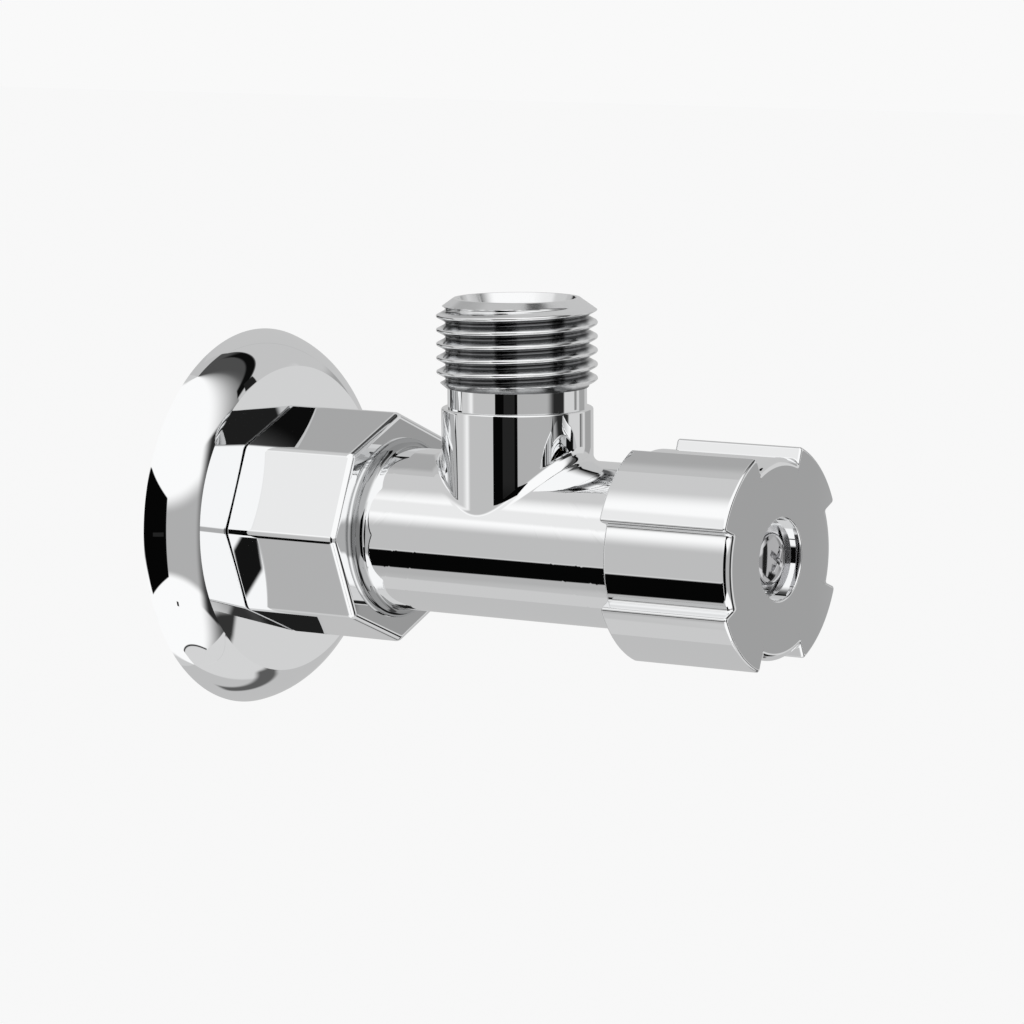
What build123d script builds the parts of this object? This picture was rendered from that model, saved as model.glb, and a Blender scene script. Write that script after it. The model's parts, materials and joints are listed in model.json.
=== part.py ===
from build123d import *
import os
from math import cos, radians, sin, sqrt

# Quarter-turn angle shut-off valve, in millimetres.
# The inlet axis is X, the wall is the plane X = 0, the knob points along +X and the outlet along +Z.
# Angles about X are counted from +Y towards +Z.

# Pipe thread of inlet and outlet, at its major diameter
thread_r = 10.4775
thread_chamfer = 0.9

# Inlet spigot
inlet_thread_len = 9.0
inlet_bore_r = 6.5
shank_r = 9.2

# Wall cover, pressed from sheet
cover_r = 25.2
cover_crease_r = 20.45
cover_height = 6.2
cover_dome_round = 250.0
cover_rim_round = 9.0
cover_sheet = 0.7
cover_hole_r = 10.9

# Octagon for the spanner, and the round collar on its front
octagon_r = 15.39
octagon_len = 17.2
octagon_corner = 1.4
octagon_front_round = 0.85
collar_step = 1.2
collar_h = 0.5

# Barrel
barrel_r = 10.7
barrel_end = 64.5
collar_fillet = 1.1

# Outlet neck
outlet_x = 41.93
neck_step = 0.82
neck_h = 17.1
neck_bevel = 0.25
neck_fillet = 1.8
undercut_depth = 1.4275
undercut_len = 2.6
outlet_thread_len = 11.6
outlet_tip_r = 8.25
outlet_tip_len = 1.6
outlet_bore_r = 5.5
mouth_r = 7.7
mouth_bottom_r = 6.0
mouth_depth = 4.0

# Bore for the cartridge
chamber_r = 8.3
seat_bore_r = 5.5
seat_len = 5.0
chamber_chamfer = 0.5

# Clearances
slip = 0.05
turn_gap = 0.02
loose = 0.2

# Seat seal and its stiff ring
seal_h = 2.0
seal_wall = 0.95
support_wall = 0.7
support_step = 0.4

# Ceramic discs
fixed_disc_h = 2.5
moving_disc_h = 2.2
disc_r = 6.7
disc_edge = 0.25
port_r_in = 1.8
port_r_out = 4.8
port_half = 38.0
key_half = 15.0
key_h = 0.8
key_play = 1.0

# Cartridge housing
housing_r = 7.95
cavity_r = 6.9
housing_foot = 0.6
window_half = 50.0
window_margin = 0.4
leg_room = 8.2
groove_margin = 0.9
housing_thread_len = 12.64
relief_len = 1.5
relief_depth = 0.8
hex_flats = 18.0
hex_h = 3.4
hex_chamfer = 0.6
nose_r = 6.0
nose_h = 1.1
stop_half = 24.7
stop_r = 5.1

# Spindle
journal_r = 3.95
base_r = 5.0
base_h = 1.9
leg_half = 20.0
leg_wall = 1.0
leg_r = 6.6
leg_angle = 45.0
leg_play = 1.0
leg_setback = 0.8
spline_r = 3.9
spline_depth = 0.4
spline_teeth = 20
spline_root_share = 0.32
spline_tip_share = 0.14
spline_len = 6.7
spline_gap = 0.95

# Seals on the spindle, and their grooves
ring_section_r = 0.6
ring_groove_len = 1.5
ring_places = (4.5, 8.5)

# Seal between housing and barrel
gland_ring_r = 0.78

# Thrust washer and retaining clip
washer_h = 0.6
clip_h = 0.6
clip_groove_r = 3.1
clip_r = 5.2
clip_gap_half = 38.0

# Knob
knob_len = 18.42
skirt_wall = 1.47
lobe_h = 1.85
lobe_count = 4
lobe_angle = 46.0
lobe_turn = 46.5
lobe_round = 0.35
knob_front_round = 1.0
knob_back_round = 0.3
skirt_gap = 0.7
front_wall = 2.2
boss_r = 6.8
boss_setback = 0.4
rib_wall = 1.2
rib_len = 6.3
web_h = 1.2
recess_r = 5.22
recess_lip = 0.3
recess_step_r = 4.6
recess_step_depth = 1.2
recess_depth = 2.82
end_gap = 0.2

# Screw of the knob
screw_r = 2.0
screw_len = 11.8
tap_runout = 1.0
screw_head_r = 3.35
screw_rim_h = 0.75
screw_dome_h = 1.15
screw_washer_r = 4.3
screw_washer_h = 0.5
cross_half = 1.75
cross_wall = 0.8
cross_depth = 1.0
cross_turn = 35.0
screw_chamfer = 0.4

# Strainer in the inlet
strainer_len = 5.0
strainer_wall = 0.6
strainer_hole_r = 0.7
strainer_pitch = 2.1
strainer_rows = 5

# Places along X, from the wall outwards
octagon_x0 = cover_height
octagon_x1 = octagon_x0 + octagon_len
collar_x1 = octagon_x1 + collar_h

# Places inside the barrel, back from its end
flange_x0 = barrel_end
thread_x1 = flange_x0 - relief_len
groove_x1 = thread_x1 - housing_thread_len
groove_x0 = groove_x1 - 2 * gland_ring_r - 2 * loose
gland_ring_x = (groove_x0 + groove_x1) / 2
gland_x0 = groove_x0 - groove_margin

# Stack of pieces from the housing's shoulder back to the seat
cavity_x1 = gland_x0
washer_x1 = cavity_x1 - turn_gap
washer_x0 = washer_x1 - washer_h
base_x1 = washer_x0 - turn_gap
base_x0 = base_x1 - base_h
moving_x1 = base_x0 - leg_room
moving_x0 = moving_x1 - moving_disc_h
fixed_x1 = moving_x0 - turn_gap
fixed_x0 = fixed_x1 - fixed_disc_h
seat_x = fixed_x0 - seal_h
housing_x0 = seat_x + housing_foot

# Places in front of the barrel
hex_x1 = flange_x0 + hex_h
nose_x1 = hex_x1 + nose_h
clip_x0 = nose_x1 + slip
clip_x1 = clip_x0 + clip_h
spline_x0 = clip_x1 + spline_gap
spindle_x1 = spline_x0 + spline_len
boss_x0 = spline_x0 + boss_setback
web_x0 = spindle_x1 + end_gap
recess_x0 = web_x0 + web_h
knob_x1 = recess_x0 + recess_depth
knob_x0 = knob_x1 - knob_len
head_x0 = recess_x0 + screw_washer_h

# Radii that follow from a neighbour
collar_r = barrel_r + collar_step
neck_r = barrel_r - neck_step
undercut_r = thread_r - undercut_depth
journal_bore_r = journal_r + slip
housing_thread_r = chamber_r - slip
ring_groove_r = journal_r - 2 * ring_section_r
gland_groove_r = chamber_r - 2 * gland_ring_r - 2 * turn_gap
skirt_r = barrel_r + skirt_gap
knob_r = skirt_r + skirt_wall
lobe_r = knob_r + lobe_h
seal_r = cavity_r - slip
key_r = disc_r + key_h

# Places along the outlet
undercut_z1 = neck_h + undercut_len
outlet_z1 = undercut_z1 + outlet_thread_len


def turned(points):
    """Solid of revolution about X from (x, radius) points."""
    return revolve(make_face(Polyline(*points, close=True)), Axis.X)


def upright(points):
    """Solid of revolution about the outlet axis from (radius, z) points."""
    profile = make_face(Plane.XZ * Polyline(*points, close=True))
    return Pos(outlet_x, 0, 0) * revolve(profile, Axis.Z)


def rod(x0, x1, radius):
    """Cylinder on the X axis."""
    return Pos(x0, 0, 0) * extrude(Plane.YZ * Circle(radius), x1 - x0)


def ring(x0, x1, r_in, r_out):
    """Round ring on the X axis."""
    return rod(x0, x1, r_out) - rod(x0, x1, r_in)


def torus_ring(x, centre_r, section_r):
    """O-ring on the X axis."""
    return revolve(Pos(x, centre_r) * Circle(section_r), Axis.X)


def sector_face(r_in, r_out, centre, half):
    """Ring sector in the YZ plane, as seen from +X."""
    outer = CenterArc((0, 0), r_out, centre - half, 2 * half)
    inner = CenterArc((0, 0), r_in, centre - half, 2 * half)
    sides = [Line(outer @ 0, inner @ 0), Line(outer @ 1, inner @ 1)]
    return make_face([outer, inner, *sides])


def sector(x0, x1, r_in, r_out, centre, half):
    """Ring sector between two planes across X."""
    return Pos(x0, 0, 0) * extrude(Plane.YZ * sector_face(r_in, r_out, centre, half), x1 - x0)


def pair(x0, x1, r_in, r_out, centre, half):
    """Two opposite ring sectors."""
    return [sector(x0, x1, r_in, r_out, centre + turn, half) for turn in (0, 180)]


def circle_edges(shape, x, radius):
    """Round edges about X at one place and radius."""
    def wanted(edge):
        middle = edge.arc_center
        on_axis = abs(middle.Y) + abs(middle.Z) < 1e-3
        return on_axis and abs(middle.X - x) < 1e-3 and abs(edge.radius - radius) < 1e-3
    return shape.edges().filter_by(GeomType.CIRCLE).filter_by(wanted)


def barrel_and_neck():
    """Barrel and outlet neck, blended where they meet."""
    barrel = rod(octagon_x1 - collar_fillet, barrel_end, barrel_r)
    neck = upright([
        (0, 0),
        (neck_r, 0),
        (neck_r, neck_h - neck_bevel),
        (neck_r - neck_bevel, neck_h),
        (0, neck_h),
    ])
    both = barrel + neck
    seam = both.edges().filter_by(lambda edge: edge.geom_type not in (GeomType.LINE, GeomType.CIRCLE))
    return fillet(seam, neck_fillet)


def octagon():
    """Spanner octagon with rounded long edges and a rounded front, and the round collar on it."""
    outline = RegularPolygon(octagon_r, 8)
    outline = fillet(outline.vertices(), octagon_corner)
    block = Pos(octagon_x0, 0, 0) * extrude(Plane.YZ * outline, octagon_len)
    block = fillet(block.faces().sort_by(Axis.X)[-1].edges(), octagon_front_round)
    return block + rod(octagon_x0, collar_x1, collar_r)


def inlet_spigot():
    """Threaded inlet end and the plain shank under the wall cover."""
    end = -inlet_thread_len
    return turned([
        (end, 0),
        (end, thread_r - thread_chamfer),
        (end + thread_chamfer, thread_r),
        (0, thread_r),
        (0, shank_r),
        (octagon_x0, shank_r),
        (octagon_x0, 0),
    ])


def outlet_end():
    """Undercut and thread above the neck's shoulder."""
    return upright([
        (0, neck_h - neck_bevel),
        (undercut_r, neck_h - neck_bevel),
        (undercut_r, undercut_z1),
        (thread_r - thread_chamfer, undercut_z1),
        (thread_r, undercut_z1 + thread_chamfer),
        (thread_r, outlet_z1 - outlet_tip_len),
        (outlet_tip_r, outlet_z1),
        (0, outlet_z1),
    ])


def waterways():
    """Inlet bore, seat, cartridge chamber and outlet bore."""
    inlet = rod(-inlet_thread_len, seat_x - seat_len, inlet_bore_r)
    seat = rod(seat_x - seat_len, seat_x, seat_bore_r)
    chamber = turned([
        (seat_x, 0),
        (seat_x, chamber_r),
        (barrel_end - chamber_chamfer, chamber_r),
        (barrel_end, chamber_r + chamber_chamfer),
        (barrel_end, 0),
    ])
    outlet = upright([
        (0, 0),
        (outlet_bore_r, 0),
        (outlet_bore_r, outlet_z1 - mouth_depth),
        (mouth_bottom_r, outlet_z1 - mouth_depth),
        (mouth_r, outlet_z1),
        (0, outlet_z1),
    ])
    return [inlet, seat, chamber, outlet]


def valve_body():
    """Forged angle body with its waterways."""
    solid = octagon() + barrel_and_neck()
    solid = fillet(circle_edges(solid, collar_x1, barrel_r), collar_fillet)
    solid = solid + inlet_spigot() + outlet_end()
    return solid - waterways()


def wall_cover_blank(depth):
    """Solid under the cover's surface, one depth below it: a shallow dome about the hole, a crease and a
    rounded rim. The dome belongs to a ball on the axis."""
    top = cover_height - depth
    fall = sqrt(cover_dome_round ** 2 - cover_hole_r ** 2) - sqrt(cover_dome_round ** 2 - cover_crease_r ** 2)
    crease = (top - fall, cover_crease_r)
    foot = (0, cover_r - depth)
    dome = RadiusArc(crease, (top, cover_hole_r), cover_dome_round)
    rim = RadiusArc(foot, crease, cover_rim_round)
    inner = Polyline((top, cover_hole_r), (top, 0), (0, 0), foot)
    return revolve(make_face([dome, rim, inner]), Axis.X)


def wall_escutcheon():
    """Pressed wall cover, open towards the wall."""
    return wall_cover_blank(0) - wall_cover_blank(cover_sheet) - rod(0, cover_height, cover_hole_r)


def inlet_strainer():
    """Cup that rests on the step in the inlet bore, with a perforated bottom."""
    x1 = seat_x - seat_len
    x0 = x1 - strainer_len
    outer_r = inlet_bore_r - slip
    cup = rod(x0, x1, outer_r) - rod(x0 + strainer_wall, x1, outer_r - strainer_wall)
    spots = HexLocations(strainer_pitch / sqrt(3), strainer_rows, strainer_rows)
    reach = outer_r - strainer_wall - strainer_hole_r
    holes = [spot * Circle(strainer_hole_r) for spot in spots if spot.position.length < reach]
    return cup - [Pos(x0, 0, 0) * extrude(Plane.YZ * hole, strainer_wall) for hole in holes]


def housing_outside():
    """Turned outside of the cartridge housing, up to its flange."""
    return turned([
        (housing_x0, 0),
        (housing_x0, housing_r),
        (groove_x0, housing_r),
        (groove_x0, gland_groove_r),
        (groove_x1, gland_groove_r),
        (groove_x1, housing_thread_r),
        (thread_x1, housing_thread_r),
        (thread_x1, housing_thread_r - relief_depth),
        (flange_x0, housing_thread_r - relief_depth),
        (flange_x0, nose_r),
        (nose_x1, nose_r),
        (nose_x1, 0),
    ])


def hexagon_flange():
    """Hexagon for the headwork spanner, with its corners turned off at the front."""
    corner_r = hex_flats / sqrt(3)
    block = Pos(flange_x0, 0, 0) * extrude(Plane.YZ * RegularPolygon(corner_r, 6), hex_h)
    cone = turned([
        (flange_x0, 0),
        (flange_x0, corner_r),
        (hex_x1 - hex_chamfer, corner_r),
        (hex_x1, hex_flats / 2),
        (hex_x1, 0),
    ])
    return block & cone


def cartridge_housing():
    """Headwork body with disc cavity, windows, inner stops and spindle bore."""
    solid = housing_outside() + hexagon_flange()
    solid = solid - rod(housing_x0, cavity_x1, cavity_r) - rod(cavity_x1, nose_x1, journal_bore_r)
    window_x0 = moving_x1 + window_margin
    window_x1 = base_x0 - window_margin
    stops = pair(window_x0, cavity_x1, stop_r, cavity_r + slip, 0, stop_half)
    windows = pair(window_x0, window_x1, base_r, housing_r + loose, 90, window_half)
    slots = pair(housing_x0, fixed_x1, disc_r, housing_r + loose, 0, key_half + key_play)
    return solid + stops - windows - slots


def housing_o_ring():
    """Seal in the groove of the housing."""
    return torus_ring(gland_ring_x, gland_groove_r + turn_gap + gland_ring_r, gland_ring_r)


def seat_seal():
    """Rubber ring on the seat, with a lip that holds the stiff ring."""
    inner_r = seal_r - seal_wall
    return turned([
        (seat_x, inner_r - support_step),
        (seat_x, seal_r - disc_edge),
        (seat_x + disc_edge, seal_r),
        (fixed_x0, seal_r),
        (fixed_x0, inner_r),
        (seat_x + support_step, inner_r),
        (seat_x + support_step, inner_r - support_step),
    ])


def seal_support_ring():
    """Stiff ring that keeps the seat seal open."""
    outer_r = seal_r - seal_wall - turn_gap
    return ring(seat_x + support_step, fixed_x0 - turn_gap, outer_r - support_wall, outer_r)


def disc_blank(x0, x1):
    """Round disc with two bevelled rims."""
    return turned([
        (x0, 0),
        (x0, disc_r - disc_edge),
        (x0 + disc_edge, disc_r),
        (x1 - disc_edge, disc_r),
        (x1, disc_r - disc_edge),
        (x1, 0),
    ])


def fixed_disc():
    """Ceramic disc keyed to the housing, with two ports."""
    keys = pair(fixed_x0 + disc_edge, fixed_x1 - disc_edge, port_r_out, key_r, 0, key_half)
    ports = pair(fixed_x0, fixed_x1, port_r_in, port_r_out, leg_angle, port_half)
    return disc_blank(fixed_x0, fixed_x1) + keys - ports


def moving_disc():
    """Ceramic disc with two ports and two notches, drawn in the shut position."""
    ports = pair(moving_x0, moving_x1, port_r_in, port_r_out, leg_angle + 90, port_half)
    notch_r = leg_r - leg_wall - loose / 2
    notches = pair(moving_x0, moving_x1, notch_r, disc_r + loose, leg_angle, leg_half + leg_play)
    return disc_blank(moving_x0, moving_x1) - ports - notches


def spline_bar(x0, x1, tip_r):
    """Bar with straight-sided spline teeth."""
    root_r = tip_r - spline_depth
    pitch = 360 / spline_teeth
    root = radians(pitch * spline_root_share)
    tip = radians(pitch * spline_tip_share)
    tooth = make_face(Polyline(
        (0, 0),
        (root_r * cos(root), -root_r * sin(root)),
        (tip_r * cos(tip), -tip_r * sin(tip)),
        (tip_r * cos(tip), tip_r * sin(tip)),
        (root_r * cos(root), root_r * sin(root)),
        close=True,
    ))
    star = Circle(root_r) + [Rot(0, 0, k * pitch) * tooth for k in range(spline_teeth)]
    return Pos(x0, 0, 0) * extrude(Plane.YZ * star, x1 - x0)


def spindle():
    """Turned spindle with driving legs, seal grooves, clip groove, spline and tapped end."""
    solid = rod(base_x0, base_x1, base_r) + rod(base_x1, spline_x0, journal_r)
    solid = solid + spline_bar(spline_x0, spindle_x1, spline_r)
    solid = solid + pair(base_x0, base_x1, journal_r, leg_r, leg_angle, leg_half)
    solid = solid + pair(moving_x0 + leg_setback, base_x0, leg_r - leg_wall, leg_r, leg_angle, leg_half)
    for place in ring_places:
        middle = cavity_x1 + place
        half = ring_groove_len / 2
        solid = solid - ring(middle - half, middle + half, ring_groove_r, journal_r + loose)
    solid = solid - ring(clip_x0 - turn_gap, clip_x1 + turn_gap, clip_groove_r, journal_r + loose)
    return solid - rod(head_x0 - screw_len - tap_runout, spindle_x1, screw_r + slip)


def spindle_o_ring(place):
    """Seal in one groove of the spindle."""
    centre_r = ring_groove_r + turn_gap + ring_section_r
    return torus_ring(cavity_x1 + place, centre_r, ring_section_r)


def thrust_washer():
    """Low-friction washer between the spindle's base and the housing."""
    return ring(washer_x0, washer_x1, journal_bore_r + slip, base_r - slip)


def retaining_clip():
    """Open spring ring in the groove of the spindle."""
    whole = ring(clip_x0, clip_x1, clip_groove_r + slip, clip_r)
    return whole - sector(clip_x0, clip_x1, screw_r, clip_r + loose, 90, clip_gap_half)


def knob_blank():
    """Outside of the knob: a rounded drum with raised lobes."""
    drum = rod(knob_x0, knob_x1, knob_r)
    drum = fillet(circle_edges(drum, knob_x1, knob_r), knob_front_round)
    lobe_face = sector_face(boss_r, lobe_r, lobe_turn, lobe_angle / 2)
    far_corners = lobe_face.vertices().filter_by(lambda corner: corner.center().length > knob_r)
    lobe_face = fillet(far_corners, lobe_round)
    lobe = Pos(knob_x0, 0, 0) * extrude(Plane.YZ * lobe_face, knob_len)
    lobe = chamfer(circle_edges(lobe, knob_x1, lobe_r) + circle_edges(lobe, knob_x0, lobe_r), knob_back_round)
    step = 360 / lobe_count
    return drum + [Rot(k * step, 0, 0) * lobe for k in range(lobe_count)]


def knob_recess():
    """Stepped recess for the screw in the front face."""
    return turned([
        (recess_x0, 0),
        (recess_x0, recess_step_r),
        (knob_x1 - recess_step_depth, recess_step_r),
        (knob_x1 - recess_step_depth, recess_r - recess_lip),
        (knob_x1 - recess_lip, recess_r - recess_lip),
        (knob_x1, recess_r),
        (knob_x1, 0),
    ])


def handle():
    """Knob with skirt, splined boss, stiffening ribs and screw recess."""
    hollow = ring(knob_x0, knob_x1 - front_wall, boss_r, skirt_r) + rod(knob_x0, boss_x0, boss_r + slip)
    rib = Box(rib_len, 2 * (skirt_r + slip), rib_wall, align=(Align.MAX, Align.CENTER, Align.CENTER))
    rib = Pos(knob_x1 - front_wall, 0, 0) * rib
    cross = Rot(lobe_turn, 0, 0) * rib + Rot(lobe_turn + 90, 0, 0) * rib
    solid = knob_blank() - (hollow - cross)
    solid = solid - knob_recess() - spline_bar(boss_x0, web_x0, spline_r + slip)
    return solid - rod(web_x0, recess_x0, screw_r + loose)


def handle_screw():
    """Pan-head screw with a cross recess."""
    rim_x = head_x0 + screw_rim_h
    top_x = rim_x + screw_dome_h
    start = head_x0 - screw_len
    dome = EllipticalCenterArc((rim_x, 0), screw_dome_h, screw_head_r, start_angle=0, arc_size=90)
    outline = Polyline(
        (top_x, 0),
        (start, 0),
        (start, screw_r - screw_chamfer),
        (start + screw_chamfer, screw_r),
        (head_x0, screw_r),
        (head_x0, screw_head_r),
        (rim_x, screw_head_r),
    )
    solid = revolve(make_face([dome, outline]), Axis.X)
    slot = Box(cross_depth, 2 * cross_half, cross_wall, align=(Align.MAX, Align.CENTER, Align.CENTER))
    slot = Pos(top_x, 0, 0) * slot
    return solid - Rot(cross_turn, 0, 0) * slot - Rot(cross_turn + 90, 0, 0) * slot


def screw_washer():
    """Plain washer under the screw's head."""
    return ring(recess_x0, head_x0, screw_r + loose, screw_washer_r)


pieces = {
    "valve_body": valve_body,
    "wall_escutcheon": wall_escutcheon,
    "inlet_strainer": inlet_strainer,
    "cartridge_housing": cartridge_housing,
    "housing_o_ring": housing_o_ring,
    "seat_seal": seat_seal,
    "seal_support_ring": seal_support_ring,
    "fixed_disc": fixed_disc,
    "moving_disc": moving_disc,
    "spindle": spindle,
    "spindle_o_ring_rear": lambda: spindle_o_ring(ring_places[0]),
    "spindle_o_ring_front": lambda: spindle_o_ring(ring_places[1]),
    "thrust_washer": thrust_washer,
    "retaining_clip": retaining_clip,
    "handle": handle,
    "handle_screw": handle_screw,
    "screw_washer": screw_washer,
}

os.makedirs("parts", exist_ok=True)
for name, make in pieces.items():
    export_step(make(), f"parts/{name}.step")
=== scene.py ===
"""Looks of a chrome angle shut-off valve, built around its packed model.

All lengths are metres. X leaves the wall towards the knob, Z runs up the outlet.
Angles about X are counted from +Z towards +Y, angles about the outlet from +X towards +Y.
"""

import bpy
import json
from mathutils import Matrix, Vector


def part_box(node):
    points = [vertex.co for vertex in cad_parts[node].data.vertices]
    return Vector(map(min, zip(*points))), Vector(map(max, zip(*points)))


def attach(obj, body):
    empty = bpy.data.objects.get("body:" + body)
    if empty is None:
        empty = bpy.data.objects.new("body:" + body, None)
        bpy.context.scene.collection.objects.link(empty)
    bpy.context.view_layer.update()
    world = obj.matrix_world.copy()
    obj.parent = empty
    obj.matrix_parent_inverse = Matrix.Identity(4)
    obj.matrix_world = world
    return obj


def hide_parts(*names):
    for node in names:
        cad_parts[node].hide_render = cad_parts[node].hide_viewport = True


bl_info = {
    "name": "Angle Shut-Off Valve",
    "version": (1, 0, 0),
    "blender": (4, 5, 0),
    "location": "3D View > Sidebar > Valve",
    "description": "Builds the chrome surfaces of an angle shut-off valve and its studio",
    "category": "Object",
}

import json
from collections import namedtuple
from math import cos, pi, radians, sin, sqrt, tan

import bmesh
import bpy
import numpy as np
from bpy.props import FloatProperty, FloatVectorProperty, IntProperty, PointerProperty
from mathutils import Matrix, Vector

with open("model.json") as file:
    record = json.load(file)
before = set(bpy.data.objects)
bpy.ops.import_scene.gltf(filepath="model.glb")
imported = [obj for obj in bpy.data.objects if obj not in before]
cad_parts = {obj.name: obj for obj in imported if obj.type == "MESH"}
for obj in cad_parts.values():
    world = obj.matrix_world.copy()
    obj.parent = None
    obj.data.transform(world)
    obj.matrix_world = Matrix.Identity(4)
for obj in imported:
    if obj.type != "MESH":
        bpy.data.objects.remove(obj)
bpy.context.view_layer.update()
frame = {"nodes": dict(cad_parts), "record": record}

# Places and sizes that the packed model gives
MM = 0.001
MOUNTS = {mount["name"]: mount for mount in frame["record"]["mounts"]}
OUTLET_X = MOUNTS["outlet_thread"]["pos_m"][0]
THREAD_R = MOUNTS["outlet_thread"]["dims"]["r_mm"] * MM
BODY_LOW, BODY_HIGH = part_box("valve_body")
COVER_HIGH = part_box("wall_escutcheon")[1]
KNOB_LOW, KNOB_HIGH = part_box("handle")
SCREW_LOW, SCREW_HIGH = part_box("handle_screw")
OCTAGON_R = BODY_HIGH.y
COVER_R = COVER_HIGH.y
SPINDLE_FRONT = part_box("spindle")[1].x

# Radius of the chamber that holds the headwork
CHAMBER_BORE = 8.3 * MM

# Step from an edge to its support point, distance at which two points count as one, and the part of a normal
# along X from which a face is shaded flat
SUPPORT = 0.03 * MM
MERGE = SUPPORT / 50
FLAT = 0.99999

# The two bodies, and the slot of the plated pieces
VALVE = "valve"
KNOB = "knob"
CHROME_SLOT = "polished_chrome"


def arc(centre, radius, start, end, steps):
    """Points on an arc: centre plus radius times (cosine, sine) of evenly spaced angles in degrees."""
    angle = np.radians(np.linspace(start, end, steps + 1))
    return np.column_stack([centre[0] + radius * np.cos(angle), centre[1] + radius * np.sin(angle)])


def chain(*parts):
    """Profile made of points and arcs in order, with a support point just inside each straight stretch,
    so that smooth shading stays exact on flats: start plus or minus a small step along the stretch."""
    joined = [np.atleast_2d(np.asarray(parts[0], float))]
    for part in parts[1:]:
        part = np.atleast_2d(np.asarray(part, float))
        start, end = joined[-1][-1], part[0]
        length = np.hypot(*(end - start))
        if length > 4 * SUPPORT:
            step = (end - start) / length * SUPPORT
            joined.append(np.array([start + step, end - step]))
        if length < SUPPORT / 100:
            part = part[1:]
        joined.append(part)
    return np.concatenate(joined)


def about_x(profile, angles):
    """Surface of revolution about X: a profile point (x, r) at angle a lies at (x, r sin a, r cos a)."""
    x, r = profile[:, 0, None], profile[:, 1, None]
    return np.stack([x + 0 * angles, r * np.sin(angles), r * np.cos(angles)], axis=-1)


def about_outlet(profile, angles):
    """Surface of revolution about the outlet: (r, z) at angle t lies at (outlet x + r cos t, r sin t, z)."""
    r, z = profile[:, 0, None], profile[:, 1, None]
    return np.stack([OUTLET_X + r * np.cos(angles), r * np.sin(angles), z + 0 * angles], axis=-1)


def between(first, last, shares):
    """Rows of points between two loops: first times (1 - share) plus last times share."""
    shares = np.asarray(shares, float)[:, None, None]
    return first[None] * (1 - shares) + last[None] * shares


def grid_quads(rows, columns, start):
    """Corner numbers of the quads of a grid whose points are numbered row by row."""
    corner = start + np.arange(rows - 1)[:, None] * columns + np.arange(columns - 1)[None]
    return np.stack([corner, corner + 1, corner + columns + 1, corner + columns], axis=-1).reshape(-1, 4)


def make_piece(name, grids, material, body, nodes=(), sharp=35.0):
    """Closed mesh from grids that share their edges. Points that coincide are merged, normals point outwards,
    edges sharper than the given angle in degrees stay crisp, and faces square to X are shaded flat."""
    points, quads, start = [], [], 0
    for grid in grids:
        rows, columns = grid.shape[:2]
        points.append(grid.reshape(-1, 3))
        quads.append(grid_quads(rows, columns, start))
        start += rows * columns
    points, quads = np.concatenate(points), np.concatenate(quads)
    mesh = bpy.data.meshes.new(name)
    mesh.vertices.add(len(points))
    mesh.vertices.foreach_set("co", points.ravel())
    mesh.loops.add(quads.size)
    mesh.loops.foreach_set("vertex_index", quads.ravel())
    mesh.polygons.add(len(quads))
    mesh.polygons.foreach_set("loop_start", np.arange(len(quads)) * 4)
    mesh.update(calc_edges=True)
    work = bmesh.new()
    work.from_mesh(mesh)
    bmesh.ops.remove_doubles(work, verts=work.verts, dist=MERGE)
    bmesh.ops.dissolve_degenerate(work, edges=work.edges, dist=MERGE)
    bmesh.ops.recalc_face_normals(work, faces=work.faces)
    work.to_mesh(mesh)
    work.free()
    mesh.set_sharp_from_angle(angle=radians(sharp))
    normals = np.empty(3 * len(mesh.polygons))
    mesh.polygons.foreach_get("normal", normals)
    mesh.polygons.foreach_set("use_smooth", np.abs(normals[::3]) < FLAT)
    mesh.materials.append(material)
    piece = bpy.data.objects.new(name, mesh)
    bpy.context.scene.collection.objects.link(piece)
    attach(piece, body)
    if nodes:
        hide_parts(*nodes)
    return piece


def thread_radius(z, turn, pitch, major):
    """Radius of a 55 degree pipe thread. The distance from the nearest crest follows from the phase, which is
    z over pitch minus the turn. Flanks rise at 1 over the tangent of 27.5 degrees, and crests and roots are
    arcs of 0.1373 pitch."""
    flank = radians(27.5)
    depth = 0.6403 * pitch
    round_r = 0.1373 * pitch
    phase = z / pitch - turn
    away = np.abs(phase - np.round(phase)) * pitch
    from_root = pitch / 2 - away
    edge = round_r * cos(flank)
    middle = major - depth / 2
    flank_r = middle + (pitch / 4 - away) / tan(flank)
    crest_r = major - round_r + np.sqrt(round_r ** 2 - np.minimum(away, edge) ** 2)
    root_r = major - depth + round_r - np.sqrt(round_r ** 2 - np.minimum(from_root, edge) ** 2)
    return np.where(away < edge, crest_r, np.where(from_root < edge, root_r, flank_r))


def octagon_outline(apothem, rounding):
    """Octagon with rounded corners as angles and radii, from minus 180 to 180 degrees. Each corner is an arc
    about a centre on the corner's diagonal, each side a straight run with support points near its ends."""
    sides, corner_steps, side_steps = 8, 8, 11
    half = pi / sides
    centre_r = (apothem - rounding) / cos(half)
    bend = np.linspace(-half, half, corner_steps + 1)
    corner = np.column_stack([centre_r + rounding * np.cos(bend), rounding * np.sin(bend)])
    turn = np.array([[cos(2 * half), sin(2 * half)], [-sin(2 * half), cos(2 * half)]])
    run = corner[0] @ turn - corner[-1]
    near = SUPPORT / np.hypot(*run)
    shares = np.concatenate([[near], np.linspace(0, 1, side_steps + 1)[1:-1], [1 - near]])
    side = np.concatenate([corner, corner[-1] + shares[:, None] * run])
    angle = np.arctan2(side[:, 1], side[:, 0])
    angles = (angle + 2 * half * np.arange(-sides // 2, sides // 2)[:, None]).ravel()
    radii = np.tile(np.hypot(side[:, 0], side[:, 1]), sides)
    shift = corner_steps // 2
    angles = np.concatenate([angles[shift:], angles[:shift] + 2 * pi, [pi]])
    radii = np.concatenate([radii[shift:], radii[:shift], [radii[shift]]])
    return angles, radii


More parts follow.
